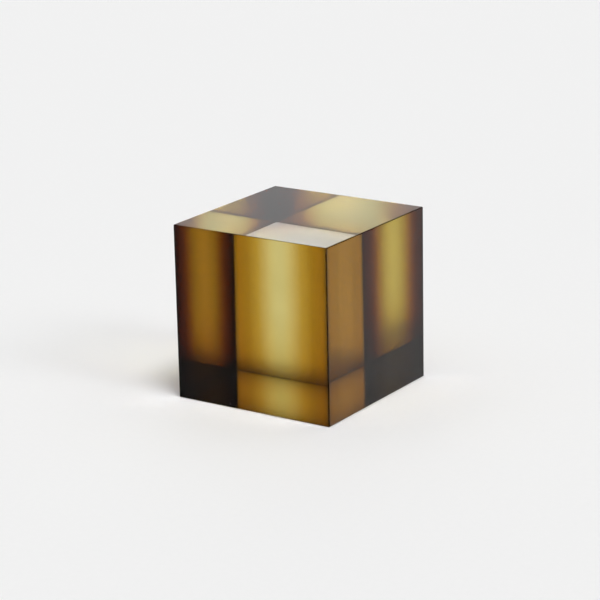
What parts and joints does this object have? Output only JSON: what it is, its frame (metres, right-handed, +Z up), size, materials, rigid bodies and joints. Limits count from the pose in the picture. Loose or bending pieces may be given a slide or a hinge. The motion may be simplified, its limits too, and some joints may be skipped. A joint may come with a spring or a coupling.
{
  "type": "solid clear cube block with graded amber sides",
  "caption": "Polished solid clear cube with graded amber sheets laminated to its upright sides, near black at the upright edges and pale gold in the middle.",
  "frame": {"origin": "centre of the base, on the surface that the cube stands on", "axes": "+Z up along the cube's upright axis, through the clear top; the front faces -Y and the right side faces +X"},
  "size_m": [0.06, 0.06, 0.06],
  "materials": {
    "clear_acrylic": "cast acrylic, diamond polished, water clear",
    "clear_adhesive": "cured optically clear adhesive",
    "amber_sheet": "thin acrylic sheet dyed in a graded amber, polished"
  },
  "bodies": {
    "root": {"core_block": "clear_acrylic", "front_film": "clear_adhesive", "right_film": "clear_adhesive", "back_film": "clear_adhesive", "left_film": "clear_adhesive", "front_sheet": "amber_sheet", "right_sheet": "amber_sheet", "back_sheet": "amber_sheet", "left_sheet": "amber_sheet"}
  },
  "joints": []
}
